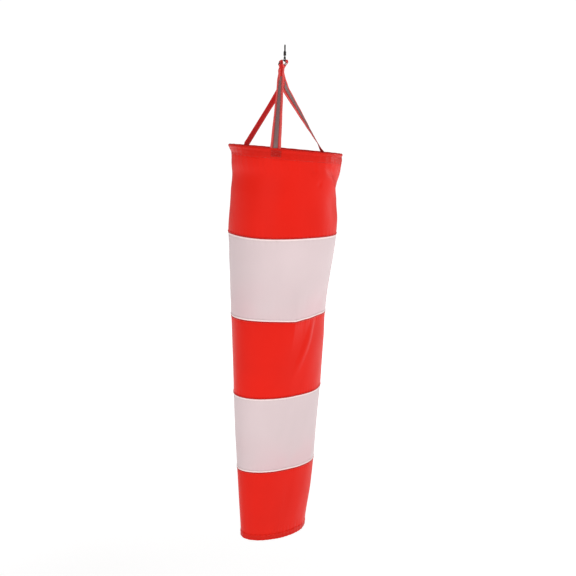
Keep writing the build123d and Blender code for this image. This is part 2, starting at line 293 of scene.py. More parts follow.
def hem_cloth(name, colour):
    """The same nylon, folded double, with painted shade: darker where a strap's tab lies behind it and in the
    stitched groove.
    """
    shop = Finish(name)
    point, across, along = shop.cut()
    behind = shop.node("Attribute", {"attribute_name": "strap_shade_behind"}, {}, "Fac")
    groove = shop.node("Attribute", {"attribute_name": "groove"}, {}, "Fac")
    slub = shop.slub(point)
    body = shop.mix(shop.step(shop.noise(point, 26.0, 2.0), 0.3, 0.7), shade(colour, 0.93), colour)
    body = shop.mix(shop.step(along, 0.001, 0.011), shade(colour, 1.15), body)
    # painted shade where a strap's tab lies behind the hem, as less light comes through the cloth there
    body = shop.mix(behind * 0.9, body, shade(colour, 0.62))
    # painted shade in the stitched groove below the hoop
    body = shop.mix(groove * 0.12, body, shade(colour, 0.8))
    weave = shop.weave(across, along)[1]
    crumple = shop.noise(shop.stretched(point, (1.0, 0.35, 1.0)), 120.0, 3.0)
    cockle = shop.bump(crumple, 0.16, 0.0012, weave)
    return shop.made(Base_Color=body, Roughness=slub * 0.08 + 0.40, Normal=cockle, **NYLON_SHEEN)


def seam_cloth(name, red, white, red_above, middle):
    """A felled seam with painted light: painted shade darkens the red edge in its groove, and a painted
    highlight lightens the white one.
    """
    shop = Finish(name)
    point, across, along = shop.cut()
    side = (along - middle) * (1.0 if red_above else -1.0)
    # painted shade along the red side of the seam's middle
    red_part = shop.mix(shop.step(side, -0.0034, -0.0022), red, shade(red, 0.55))
    # painted highlight along the white side of the seam's middle
    white_part = shop.mix(shop.step(side, 0.0030, 0.0044), (0.92, 0.75, 0.74), white)
    colour = shop.mix(shop.step(side, -0.0003, 0.0003), red_part, white_part)
    weave = shop.weave(across, along)[1]
    cockle = shop.bump(shop.noise(point, 260.0, 2.0), 0.3, 0.0006, weave)
    return shop.made(Base_Color=colour, Roughness=shop.noise(point, 90.0) * 0.1 + 0.38, Normal=cockle,
                     **NYLON_SHEEN)


def webbing(name, colour, pale):
    """Flat polyester webbing: a herringbone face, tight cross ribs and a painted sheen on its rounded edges.
    """
    shop = Finish(name)
    point, across, along = shop.cut()
    rib = shop.wave(along, 0.0013)
    twill = shop.wave(along + shop.reckon("PINGPONG", across, 0.0031), 0.0016)
    edge = shop.step(shop.reckon("ABSOLUTE", across), 0.0060, 0.0092)
    fuzz = shop.noise(point, 700.0, 2.0)
    body = shop.mix(rib * 0.22, colour, shade(colour, 0.72))
    # painted sheen: the rounded edges are lightened towards the pale colour
    body = shop.mix(edge * 0.85, body, pale)
    body = shop.mix(shop.step(shop.noise(point, 60.0), 0.4, 0.75) * 0.25, body, shade(colour, 0.8))
    relief = shop.bump(rib * 0.5 + twill * 0.4 + fuzz * 0.3, 0.55, 0.00025)
    return shop.made(Base_Color=body, Roughness=fuzz * 0.15 + 0.58, Normal=relief,
                     Sheen_Weight=0.05, Sheen_Roughness=0.4, Specular_IOR_Level=0.12)


def glass_bead_tape(name, colour):
    """Grey reflective tape: a bed of tiny glass beads with a faint diamond press and dulled patches."""
    shop = Finish(name)
    point, across, along = shop.cut()
    beads = shop.node("TexVoronoi", {}, {"Vector": point, "Scale": 2600.0})
    press = shop.wave(along + across, 0.0021) * shop.wave(along - across, 0.0021)
    worn = shop.step(shop.noise(point, 48.0, 3.0), 0.42, 0.72)
    body = shop.mix(worn * 0.5, colour, shade(colour, 1.35))
    body = shop.mix(press * 0.28, body, shade(colour, 0.72))
    body = shop.mix(beads * 0.3, body, shade(colour, 1.5))
    relief = shop.bump(beads * 0.5 + press, 0.3, 0.0001)
    return shop.made(Base_Color=body, Metallic=worn * 0.12 + 0.08, Roughness=worn * 0.14 + 0.36,
                     Normal=relief)


def thread_finish(name, colour):
    """Twisted polyester thread."""
    shop = Finish(name)
    twist = shop.noise(shop.object_point(), 2400.0, 2.0)
    body = shop.mix(twist, shade(colour, 0.72), colour)
    return shop.made(Base_Color=body, Roughness=twist * 0.2 + 0.4, Normal=shop.bump(twist, 0.4, 0.0001),
                     Sheen_Weight=0.3)


def plated(name, colour, wear, dull):
    """Plated metal: drawn lines, handling scratches and slightly duller, warmer worn patches."""
    shop = Finish(name)
    place = shop.object_point()
    cloud = shop.noise(place, 90.0, 4.0, 0.6)
    worn = shop.step(cloud, 0.46, 0.72)
    scratch = shop.noise(shop.stretched(place, (1.0, 1.0, 0.12)), 2600.0, 2.0)
    body = shop.mix(worn, colour, wear)
    body = shop.mix(scratch * 0.3, body, shade(colour, 0.6))
    return shop.made(Base_Color=body, Metallic=1.0, Roughness=worn * 0.16 + scratch * 0.12 + dull,
                     Normal=shop.bump(scratch, 0.12, 0.00005))


# ---- shape of the hanging cloth
def smooth(value, low, high):
    """0 below low, 1 above high."""
    share = min(1.0, max(0.0, (value - low) / (high - low)))
    return share * share * (3 - 2 * share)


def mound(value, middle, width):
    """1 at the middle, falling to 0 a width away."""
    return 1 - smooth(abs(value - middle), 0, width)


def bearing_off(bearing, middle):
    """Degrees from middle round to a bearing, from -180 to 180."""
    return (bearing - middle + 180) % 360 - 180


def outline_at(drop):
    """Half width, half depth, turn and middle of the cloth at a drop, on a smooth curve."""
    last = len(OUTLINES) - 1
    spot = next((n for n in range(last) if drop <= OUTLINES[n + 1][0]), last - 1)
    upper, lower = OUTLINES[spot], OUTLINES[spot + 1]
    before, after = OUTLINES[max(0, spot - 1)], OUTLINES[min(last, spot + 2)]
    span = lower[0] - upper[0]
    share = min(1.0, max(0.0, (drop - upper[0]) / span))
    values = []
    for item in range(1, 6):
        start = (lower[item] - before[item]) / (lower[0] - before[0]) * span
        end = (after[item] - upper[item]) / (after[0] - upper[0]) * span
        a, b = upper[item], lower[item]
        values.append((2 * share ** 3 - 3 * share ** 2 + 1) * a
                      + (share ** 3 - 2 * share ** 2 + share) * start
                      + (3 * share ** 2 - 2 * share ** 3) * b + (share ** 3 - share ** 2) * end)
    return values


def folds(drop, bearing):
    """How far the cloth stands out from its plain oval, in millimetres."""
    left, right = bearing_off(bearing, 180), bearing_off(bearing, 0)
    front = bearing_off(bearing, -90)
    out = 0.0
    # pulled in under the wired rim
    on_left, off_right = mound(left, 0, 75), 1 - mound(right, 0, 60)
    out -= 8.5 * smooth(drop, 2, 17) * (1 - smooth(drop, 24, 60)) * on_left
    out -= 1.6 * smooth(drop, 3, 14) * (1 - smooth(drop, 22, 48)) * (1 - on_left) * off_right
    out += 1.5 * mound(drop, 44, 26) * mound(right, 0, 40)
    out += 2.3 * mound(drop, 158, 45) * mound(right, 0, 45)
    out += 2.0 * mound(drop, 185, 60) * mound(left, 0, 50)
    # sharp crease that runs down to the right edge, with the cloth falling away beyond it
    reached = (drop - 30) / 78
    line = bearing_off(bearing, -50 + 42 * reached)
    if line > 0:
        depth = 6.0 * smooth(drop, 24, 60) * (1 - smooth(drop, 92, 140))
        out -= depth * min(1.0, line / 13) * (1 - smooth(line, 26, 60))
    # two small dents beside the crease
    for dent_drop, dent_bearing in ((41, -60), (72, -52)):
        out -= 1.6 * mound(hypot(drop - dent_drop, bearing_off(bearing, dent_bearing) * 2.3), 0, 9)
    # flat front with a corner at its right, about the second seam
    level = mound(drop, 400, 95)
    corner = bearing_off(bearing, -70)
    out += 11.0 * level * max(0.0, 1 - abs(corner) / (24 if corner < 0 else 17)) ** 1.25
    out -= 7.0 * level * mound(bearing_off(bearing, -24), 0, 34)
    out -= 3.0 * level * mound(bearing_off(bearing, -108), 0, 30)
    # soft ridge that runs down and left through the third band
    ridge = bearing_off(bearing, -30 - 25 * (drop - 405) / 115)
    out += 3.2 * mound(ridge, 0, 10) * smooth(drop, 392, 425) * (1 - smooth(drop, 480, 560))
    out += 3.2 * smooth(drop, 400, 470) * (1 - smooth(drop, 880, 970)) * mound(right, -8, 55)
    # slow waves in the cloth, stronger at the back where it hangs slack
    turn = radians(bearing)
    slack = 0.5 + 1.6 * smooth(abs(front), 70, 140)
    out += slack * 0.7 * sin(3 * turn + drop / 95) * smooth(drop, 30, 120)
    out += slack * 0.5 * sin(7 * turn - drop / 61 + 1.1) * smooth(drop, 30, 90)
    out += slack * 0.22 * sin(13 * turn + drop / 37 + 0.4)
    # puckers along the hem and the seams
    seam = min(abs(drop - BAND * n) for n in range(1, 5))
    out += 0.28 * sin(67 * turn + 2 * sin(5 * turn)) * (1 - smooth(seam, 4, 26))
    pucker = 0.2 * sin(43 * turn + 3 * sin(3 * turn))
    out += pucker * smooth(drop, 8, 20) * (1 - smooth(drop, 24, 70))
    out += 0.35 * sin(37 * turn + 2 * sin(4 * turn)) * smooth(drop, 955, 990)
    return out * bpy.context.scene.windsock_cloth.folds


def cloth_place(drop, bearing, lift=0.0):
    """A point on the sock's cloth, in millimetres, and the way out from its middle."""
    half_width, half_depth, turn, across, back = outline_at(drop)
    angle = radians(bearing)
    oval = angle - radians(turn)
    away = half_width * half_depth / hypot(half_depth * cos(oval), half_width * sin(oval))
    away += folds(drop, bearing) + lift
    tilt = TILT * max(0.0, 1 - max(0.0, drop - HEM) / (BAND - HEM))
    middle = MOUTH - UPWARD * drop if drop < HEM else Vector((across, back, MOUTH.z - drop))
    if HEM <= drop < 60:
        middle = middle.lerp(MOUTH - UPWARD * drop, 1 - smooth(drop, HEM, 60))
    sag = 3.0 * mound(bearing_off(bearing, -112), 0, 60) * mound(drop, BAND, 90)
    out = Vector((cos(tilt), 0, -sin(tilt))) * cos(angle) + BACKWARD * sin(angle)
    return middle + out * away - Vector((0, 0, sag)), out


# ---- mesh tools
FINISHES = {}


def finish_of(name):
    if name not in FINISHES:
        raise RuntimeError(f"the finish {name} isn't made yet: run windsock.finishes first")
    return FINISHES[name]


def finished(name, mesh, body, nodes, finish, thick=0.0, offset=-1.0, bevel=0.0):
    """Turns a bmesh into a piece of the object, riding on its body."""
    data = bpy.data.meshes.new(name)
    mesh.to_mesh(data)
    mesh.free()
    piece = bpy.data.objects.new(name, data)
    bpy.context.scene.collection.objects.link(piece)
    data.materials.append(finish_of(finish))
    data.polygons.foreach_set("use_smooth", [True] * len(data.polygons))
    if thick:
        wall = piece.modifiers.new("Thickness", "SOLIDIFY")
        wall.thickness, wall.offset, wall.use_even_offset = thick, offset, False
    if bevel:
        round_off = piece.modifiers.new("Rounded edge", "BEVEL")
        round_off.width, round_off.segments, round_off.limit_method = bevel, 2, "ANGLE"
        round_off.angle_limit = radians(50)
    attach(piece, body)
    if nodes:
        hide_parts(*nodes)
    return piece


def tube(steps, turns, place, cut, marks=None):
    """A tube: a circle drawn out ring by ring, then each point put in its place.
    place and cut take a step along the tube and a bearing; marks names point attributes."""
    mesh = bmesh.new()
    bmesh.ops.create_circle(mesh, cap_ends=False, radius=1, segments=turns)
    rim = list(mesh.edges)
    for step in range(steps):
        drawn = bmesh.ops.extrude_edge_only(mesh, edges=rim)["geom"]
        rim = [e for e in drawn if isinstance(e, bmesh.types.BMEdge)]
        rim = [e for e in rim if all(v in drawn for v in e.verts)]
        bmesh.ops.translate(mesh, verts=list({v for e in rim for v in e.verts}), vec=(0, 0, 1))
    flat = mesh.loops.layers.uv.new("Cut")
    layers = {name: mesh.verts.layers.float.new(name) for name in marks or {}}
    where = {v: (v.co.z / steps, degrees(atan2(v.co.y, v.co.x)) % 360) for v in mesh.verts}
    for face in mesh.faces:
        bearings = [where[loop.vert][1] for loop in face.loops]
        for loop, bearing in zip(face.loops, bearings):
            bearing += 360 if max(bearings) - bearing > 180 else 0
            loop[flat].uv = cut(where[loop.vert][0], bearing)
    for name, layer in layers.items():
        for vert, (along, bearing) in where.items():
            vert[layer] = marks[name](along, bearing)
    for vert, (along, bearing) in where.items():
        vert.co = place(along, bearing) * MM
    outward(mesh)
    return mesh


def ribbon(columns, rows, place, cut):
    """A strip: a grid whose points go to place(side, along), side from -1 to 1 and along from 0 to 1."""
    mesh = bmesh.new()
    bmesh.ops.create_grid(mesh, x_segments=columns, y_segments=rows, size=1)
    flat = mesh.loops.layers.uv.new("Cut")
    for face in mesh.faces:
        for loop in face.loops:
            loop[flat].uv = cut(loop.vert.co.x, (loop.vert.co.y + 1) / 2)
    for vert in mesh.verts:
        vert.co = place(vert.co.x, (vert.co.y + 1) / 2) * MM
    return mesh


def outward(mesh):
    """Turns an open tube's faces away from its middle."""
    mesh.normal_update()
    middle = sum((v.co for v in mesh.verts), Vector()) / len(mesh.verts)
    lean = sum((f.calc_center_median() - middle).dot(f.normal) * f.calc_area() for f in mesh.faces)
    if lean < 0:
        bmesh.ops.reverse_faces(mesh, faces=mesh.faces)
        mesh.normal_update()


def stitches(runs, length, gap, thick):
    """Rows of short threads. Each run lists points in millimetres, and the way out of the cloth at each."""
    mesh, batch = bmesh.new(), bmesh.new()

    def gather():
        """Moves the batch into the mesh: small batches keep the making quick."""
        data = bpy.data.meshes.new("batch")
        batch.to_mesh(data)
        batch.clear()
        mesh.from_mesh(data)
        bpy.data.meshes.remove(data)

    for run in runs:
        carried = 0.0
        for (start, out), (end, _) in zip(run, run[1:]):
            step = end - start
            span = step.length
            if span < 1e-6:
                continue
            way = step / span
            side = out.cross(way).normalized()
            lift = way.cross(side)
            turn = Matrix((way, side, lift)).transposed().to_4x4()
            while carried < span:
                at = Matrix.Translation((start + way * carried) * MM)
                size = Matrix.Diagonal((length / 2, thick / 2, thick / 2, 1))
                bmesh.ops.create_uvsphere(batch, u_segments=4, v_segments=6, radius=1,
                                          matrix=at @ turn @ size @ Matrix.Rotation(math.pi / 2, 4, "Y"))
                carried += gap / MM
                if len(batch.verts) > 600:
                    gather()
            carried -= span
    gather()
    batch.free()
    return mesh


def sewn(name, runs, thread):
    """A stitched row as a piece on the sock."""
    cloth = bpy.context.scene.windsock_cloth
    mesh = stitches(runs, cloth.stitch * 0.82, cloth.stitch, cloth.thread)
    return finished(name, mesh, "sock", [], thread)


def ring_of(drop, lift, points=240):
    """A closed run round the sock at a drop."""
    return [cloth_place(drop, 360 * n / points, lift) for n in range(points + 1)]


# ---- the harness's shape
def lerp_keys(keys, along):
    """A value on straight runs between (place, value) keys, with the corners eased."""
    for (start, low), (end, high) in zip(keys, keys[1:]):
        if along <= end:
            return low + (high - low) * smooth(along, start, end)
    return keys[-1][1]


# where each strap leaves the sewn gather, and where it reaches the neck above it
STRAP_BENDS = {"front": Vector((-9.4, -10.7, -87.4)), "right": Vector((-1.1, -3.1, -91.8)),
               "left": Vector((-5.3, 1.5, -92.2))}
STRAP_HEADS = {"front": Vector((-8.2, -9.2, -57.5)), "right": Vector((-6.4, -5.6, -57.0)),
               "left": Vector((-8.4, -2.6, -57.0))}
# degrees that each strap is turned about its run, 90 facing the front squarely, at places along it
STRAP_TWIST = {
    "front": ((0.0, 84), (0.13, 67), (0.56, 48), (0.74, 40), (0.88, 40), (1.0, 42)),
    "right": ((0.0, 15), (0.11, -1), (0.27, -10), (0.385, -19), (0.55, -29), (0.77, -40), (0.87, -44),
              (1.0, -46)),
    "left": ((0.0, 32), (0.5, 30), (0.85, 38), (1.0, 42)),
}
# width as a share of the webbing's, where it is gathered into the neck
NECKED = ((0.0, 1.0), (0.84, 1.0), (1.0, 0.6))
STRAP_WIDTH = {"front": ((0.0, 1.0), (0.9, 1.0), (1.0, 0.72)), "right": NECKED, "left": NECKED}
# how far each tape is sewn off the strap's middle, as a share of half its width
TAPE_SHIFT = {"front": 0.0, "right": 0.28, "left": 0.0}
# where each folded loop sits round the ring, from its low edge, and half the arc it covers
LOOPS = {"front": (10.0, 31.0), "right": (110.0, 24.0), "left": (-128.0, 23.0)}


def strap_foot(name):
    turn = radians(STRAP_FEET[name])
    outward_way = ACROSS * cos(turn) + BACKWARD * sin(turn)
    return MOUTH + outward_way * STRAP_REACH + UPWARD * STRAP_RISE, outward_way


def strap_length(name):
    """The strap's length in millimetres from the hoop to the neck, and the share of it below the gather."""
    foot, _ = strap_foot(name)
    low, high = (STRAP_BENDS[name] - foot).length, (STRAP_HEADS[name] - STRAP_BENDS[name]).length
    return low + high, low / (low + high)


def strap_line(name, along):
    """A point on the strap's middle, 0 at the hoop and 1 at the neck; below 0 is the sewn tab."""
    foot, out = strap_foot(name)
    bend, head = STRAP_BENDS[name], STRAP_HEADS[name]
    corner = strap_length(name)[1]
    if along >= 0:
        eased = 0.07
        if abs(along - corner) < eased:
            share = (along - corner + eased) / (2 * eased)
            start = foot.lerp(bend, 1 - eased / corner)
            end = bend.lerp(head, eased / (1 - corner))
            return start.lerp(bend, share).lerp(bend.lerp(end, share), share)
        if along < corner:
            return foot.lerp(bend, along / corner)
        return bend.lerp(head, (along - corner) / (1 - corner))
    down = -along * TAB
    inner = HOOP - 2.2 + min(0.0, folds(down + 1, STRAP_FEET[name]))
    reach = STRAP_REACH + (inner - STRAP_REACH) * smooth(down, 3, 13)
    return MOUTH + out * reach + UPWARD * (STRAP_RISE - down)


def strap_sides(name, along):
    """The strap's flat direction and its outer face's direction."""
    out = strap_foot(name)[1]
    near, step = max(0.012, along), 0.01
    run = (strap_line(name, near + step) - strap_line(name, near - step)).normalized()
    facing = run.cross(BACKWARD).normalized()
    edgeways = run.cross(facing).normalized()
    turn = radians(lerp_keys(STRAP_TWIST[name], max(0.0, along)))
    flat = facing * sin(turn) - edgeways * cos(turn)
    foot = radians(STRAP_FEET[name])
    natural = ACROSS * -sin(foot) + BACKWARD * cos(foot)
    if name == "front":
        natural = natural * -1
    mixed = natural.lerp(flat, smooth(along, -0.3, 0.05))
    run_here = run if along >= 0 else UPWARD
    mixed = (mixed - run_here * mixed.dot(run_here)).normalized()
    face = mixed.cross(run_here)
    if natural.cross(UPWARD).dot(out) < 0:
        face = face * -1
    return mixed, face


def strap_place(name, side, along, lift=0.0, width=25.0):
    """A point across a strap: side from -1 to 1, lifted off its middle towards its outer face."""
    middle = strap_line(name, along)
    flat, face = strap_sides(name, along)
    share = lerp_keys(STRAP_WIDTH[name], max(0.0, along))
    curl = 2.4 * (1 - share) * side * side
    return middle + flat * (side * width / 2 * share) + face * (lift - curl * (1 if width > 20 else 0.2))


def round_ring(angle):
    turn = radians(angle)
    return RING_HINGE * sin(turn) + RING_FALL * cos(turn)


def loop_place(name, side, along):
    """Up from the neck, over the ring's wire and back down behind the strap."""
    angle, spread = LOOPS[name]
    flat, face = strap_sides(name, 1.0)
    sway = 1 if flat.dot(round_ring(angle + 90)) > 0 else -1
    out = round_ring(angle + spread * side * sway)
    wire = RING_CENTRE + out * RING_RADIUS
    sleeve = 2.6 + 0.3 * cos(side * 5.2)
    if along >= 0.8:
        return strap_place(name, side * 0.96, 1.0 - 0.6 * (along - 0.8), -DOUBLED)
    if 0.34 <= along <= 0.56:
        turn = math.pi * (along - 0.34) / 0.22
        return wire + (out * cos(turn) - RING_NORMAL * sin(turn)) * sleeve
    outer = along < 0.34
    share = along / 0.34 if outer else (0.8 - along) / 0.24
    low = strap_place(name, side, 1.0, 0.0 if outer else -DOUBLED)
    top = wire + out * (sleeve if outer else -sleeve)
    run = (strap_line(name, 1.0) - strap_line(name, 0.97)).normalized()
    points = (low, low + run * 5, top + RING_NORMAL * 6, top)
    while len(points) > 1:
        points = [a.lerp(b, share) for a, b in zip(points, points[1:])]
    return points[0]


# ---- operators
class WINDSOCK_OT_finishes(bpy.types.Operator):
    """Make the nylon, webbing, tape, thread and plated finishes"""

    bl_idname = "windsock.finishes"
    bl_label = "Finishes"

    def execute(self, context):
        cloth, harness = context.scene.windsock_cloth, context.scene.windsock_harness
        red, white = tuple(cloth.red), tuple(cloth.white)
        # the last two arguments give the painted bounced light: its colour, and its share towards the foot of
        # each band
        FINISHES["red"] = nylon("Red nylon", red, shade(red, 1.08), 0.4)
        FINISHES["white"] = nylon("White nylon", white, (0.75, 0.45, 0.485), 0.5)
        FINISHES["hem"] = hem_cloth("Hem nylon", shade(red, 0.84))
        for number in range(1, 5):
            FINISHES[f"seam_{number}"] = seam_cloth(f"Felled seam {number}", red, white, number % 2 == 1,
                                                    number * BAND * MM)
        # the last colour is the painted sheen on the webbing's rounded edges
        FINISHES["webbing"] = webbing("Red webbing", tuple(harness.webbing), (0.84, 0.13, 0.12))
        # painted shade: a darker copy of the webbing, with a fainter painted edge sheen, for the left strap
        # that faces away from the light
        FINISHES["shaded_webbing"] = webbing("Shaded red webbing", (0.60, 0.006, 0.006), (0.70, 0.03, 0.03))
        FINISHES["tape"] = glass_bead_tape("Reflective tape", tuple(harness.tape))
        FINISHES["red_thread"] = thread_finish("Red thread", shade(red, 0.88))
        FINISHES["pale_thread"] = thread_finish("Pale thread", (0.80, 0.66, 0.64))
        FINISHES["nickel"] = plated("Nickel plate", tuple(harness.nickel), (0.30, 0.27, 0.24), 0.17)
        # painted shade: a darkened copy of the nickel plate, for the hook, gate and swivel eye
        FINISHES["shaded_nickel"] = plated("Shaded nickel", shade(tuple(harness.nickel), 0.22),
                                         (0.09, 0.08, 0.07), 0.24)
        FINISHES["steel"] = plated("Zinc steel", (0.50, 0.50, 0.49), (0.42, 0.39, 0.35), 0.30)
        return {"FINISHED"}


class WINDSOCK_OT_metal(bpy.types.Operator):
    """Give the hook, swivel, ring and hoop their plated finishes"""

    bl_idname = "windsock.metal"
    bl_label = "Hook, swivel, ring and hoop"

    def execute(self, context):
        # the hook body, gate and swivel eye take the darkened copy of the nickel plate: painted shade
        wanted = {"snap_hook_body": "shaded_nickel", "snap_gate": "shaded_nickel", "suspension_ring": "nickel",
                  "swivel_collar": "nickel", "swivel_eye": "shaded_nickel", "gate_pin": "steel",
                  "gate_spring": "steel", "mouth_hoop": "steel", "hoop_ferrule": "steel"}
        for node, finish in wanted.items():
            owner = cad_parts[node]
            for place in owner.material_slots:
                place.material = finish_of(finish)
        return {"FINISHED"}


class WINDSOCK_OT_bands(bpy.types.Operator):
    """Make the five nylon bands"""

    bl_idname = "windsock.bands"
    bl_label = "Cloth bands"

    def execute(self, context):
        cloth = context.scene.windsock_cloth
        for number, colour in enumerate(("red", "white", "red", "white", "red")):
            top = 20.0 if number == 0 else number * BAND - LAP
            bottom = SOCK - 1.5 if number == 4 else (number + 1) * BAND
            # the upper band lies over the one below it
            tuck = 0.0 if number == 0 else 0.55
            steps = round((bottom - top) / 4)

            def place(along, bearing):
                drop = top + (bottom - top) * along
                return cloth_place(drop, bearing, -tuck * (1 - smooth(drop, top + 5, top + 12)) - 0.2)[0]

            def cut(along, bearing):
                return radians(bearing) * CUT_RADIUS, (top + (bottom - top) * along) * MM

            mesh = tube(steps, cloth.turns, place, cut)
            name = f"band_{number + 1}_{colour}"
            piece = finished(f"{name}_cloth", mesh, "sock", [name], colour,
                             cloth.thickness)
            # the mean girth of three levels is the area's; the flat width adds a share for the taper
            girth = [outline_at(drop) for drop in (max(top, HEM), (top + bottom) / 2, bottom)]
            around = sum(math.pi * (3 * (a + b) - sqrt((3 * a + b) * (a + 3 * b)))
                         for a, b, *_ in girth) / 3 * MM
            widest = around * 1.06
            around * (bottom - top) * MM
        return {"FINISHED"}


class WINDSOCK_OT_mouth_hem(bpy.types.Operator):
    """Make the hem that holds the hoop, folded over its wire and stitched below it"""

    bl_idname = "windsock.mouth_hem"
    bl_label = "Mouth hem"

    def execute(self, context):
        cloth = context.scene.windsock_cloth
        # radial and upright offsets from the hoop's wire: up the outside, over the wire, down the inside
        profile = ((2.15, -22.0), (2.35, -20.6), (2.1, -19.4), (2.5, -17.6), (2.65, -14), (2.4, -10),
                   (1.7, -6.8), (1.6, -4.6), (2.7, -2.0), (3.0, 0.4), (2.3, 2.1), (1.2, 2.95), (0, 3.15),
                   (-1.2, 2.9), (-2.3, 2.0), (-2.9, 0.4), (-2.8, -1.4), (-1.9, -3.2), (-0.6, -5.2),
                   (0.2, -9), (0.8, -14), (1.05, -18), (1.2, -21.5))
        last = len(profile) - 1

        def offset(along):
            spot = min(last - 1, int(along * last))
            share = along * last - spot
            rows = [Vector(profile[min(last, max(0, spot + n))]) for n in (-1, 0, 1, 2)]
            return 0.5 * (2 * rows[1] + (rows[2] - rows[0]) * share
                          + (2 * rows[0] - 5 * rows[1] + 4 * rows[2] - rows[3]) * share ** 2
                          + (3 * rows[1] - rows[0] - 3 * rows[2] + rows[3]) * share ** 3)

        def place(along, bearing):
            radial, height = offset(along)
            angle = radians(bearing)
            out = ACROSS * cos(angle) + BACKWARD * sin(angle)
            gather = 0.25 * sin(52 * angle + 3 * sin(4 * angle)) + 0.15 * sin(91 * angle)
            gather *= smooth(-height, 1.5, 8) * (1 - smooth(-height, 15, 19))
            drawn = folds(-height, bearing) if height < -2 else 0.0
            ripple = 0.4 * sin(29 * angle + 2 * sin(3 * angle)) * smooth(height, -3, 2)
            return MOUTH + out * (HOOP + radial + drawn + gather) + UPWARD * (height + ripple * 0.5)

        def cut(along, bearing):
            return radians(bearing) * HOOP * MM, along * 0.05

        # painted shade: marks where a strap's tab lies behind the hem, for the hem's colour to darken there
        def behind(along, bearing):
            height = offset(along)[1]
            if along > 0.5:
                return 0.0
            near = 0.0
            for foot in STRAP_FEET.values():
                away = abs(bearing_off(bearing, foot + TAB_SWING)) * math.pi / 180 * HOOP
                near = max(near, 1 - smooth(away, 11.5, 13.5))
            return near * smooth(-height, -1, 1.5) * (1 - smooth(-height, 14, 16.5))

        # painted shade: marks the stitched groove, for the hem's colour to darken there
        def groove(along, bearing):
            height = offset(along)[1]
            return mound(-height, HEM_ROW, 1.3) if along < 0.5 else 0.0

        mesh = tube(66, cloth.turns, place, cut, {"strap_shade_behind": behind, "groove": groove})
        piece = finished("mouth_hem_cloth", mesh, "sock", ["mouth_hem"], "hem", cloth.thickness)
        made = [sewn("hem_stitches", [ring_of(HEM_ROW, 0.5)], "red_thread")]
        return {"FINISHED"}


class WINDSOCK_OT_seams(bpy.types.Operator):
    """Make the four felled seams between the bands, with their two rows of stitches"""

    bl_idname = "windsock.seams"
    bl_label = "Felled seams"

    def execute(self, context):
        cloth = context.scene.windsock_cloth
        for number in range(1, 5):
            middle = number * BAND

            def place(along, bearing):
                drop = middle + SEAM_HALF * (2 * along - 1)
                raised = 0.75 * smooth(along, 0, 0.12) * (1 - smooth(along, 0.88, 1))
                groove = 0.3 * mound(along, 0.5, 0.1)
                pinch = 0.12 * sin(radians(bearing) * 140)
                return cloth_place(drop, bearing, 0.12 + raised - groove + pinch * raised)[0]

            def cut(along, bearing):
                return radians(bearing) * CUT_RADIUS, (middle + SEAM_HALF * (2 * along - 1)) * MM

            mesh = tube(14, cloth.turns, place, cut)
            finished(f"seam_{number}_felled", mesh, "sock", [f"seam_{number}"], f"seam_{number}",
                     cloth.thickness)
            upper, lower = ("red_thread", "pale_thread") if number % 2 else ("pale_thread", "red_thread")
            for row, thread, off in (("upper", upper, -STITCH_ROW), ("lower", lower, STITCH_ROW)):
                sewn(f"seam_{number}_{row}_stitches", [ring_of(middle + off, 0.9)], thread)
        return {"FINISHED"}


class WINDSOCK_OT_tail_and_back(bpy.types.Operator):
    """Make the tail's rolled hem and the seam that closes the cloth down the back"""

    bl_idname = "windsock.tail_and_back"
    bl_label = "Tail hem and back seam"

    def execute(self, context):
        cloth = context.scene.windsock_cloth
        rolled = ((0.25, TAIL_HEM - 1), (0.75, TAIL_HEM + 0.5), (0.8, TAIL_HEM + 5), (0.75, TAIL_HEM + 9),
                  (1.0, SOCK - 3), (0.85, SOCK - 0.8), (0.2, SOCK), (-0.7, SOCK - 0.4), (-1.1, SOCK - 2),
                  (-1.0, SOCK - 8), (-1.0, TAIL_HEM))
        last = len(rolled) - 1

        def spot(along):
            at = min(last - 1, int(along * last))
            return Vector(rolled[at]).lerp(Vector(rolled[at + 1]), along * last - at)

        def place(along, bearing):
            lift, drop = spot(along)
            return cloth_place(drop, bearing, lift)[0]

        def cut(along, bearing):
            return radians(bearing) * TAIL_CUT_RADIUS, along * 0.034

        mesh = tube(40, cloth.turns, place, cut)
        piece = finished("tail_hem_cloth", mesh, "sock", ["tail_hem"], "hem", cloth.thickness)
        rows = sewn("tail_hem_stitches", [ring_of(TAIL_HEM + 3.2, 1.05, 160)], "red_thread")

        def seam_place(side, along):
            drop = HEM + 1 + (TAIL_HEM - HEM - 3) * along
            half = SEAM_HALF / outline_at(drop)[0]
            ridge = 0.75 * (1 - smooth(abs(side), 0.8, 1)) - 0.25 * mound(side, 0, 0.2)
            return cloth_place(drop, 90 - degrees(half) * side, 1.05 + ridge)[0]

        mesh = ribbon(10, 260, seam_place, lambda side, along: (side * 0.0045, along * 0.96))
        finished("back_seam_felled", mesh, "sock", ["back_seam"], "hem", 0.0006, 0.0)
        drops = [24 + 958 * n / 300 for n in range(301)]
        runs = [[cloth_place(drop, 90 + degrees(2.9 / outline_at(drop)[0]) * side, 2.1) for drop in drops]
                for side in (-1, 1)]
        sewn("back_seam_stitches", runs, "red_thread")
        return {"FINISHED"}


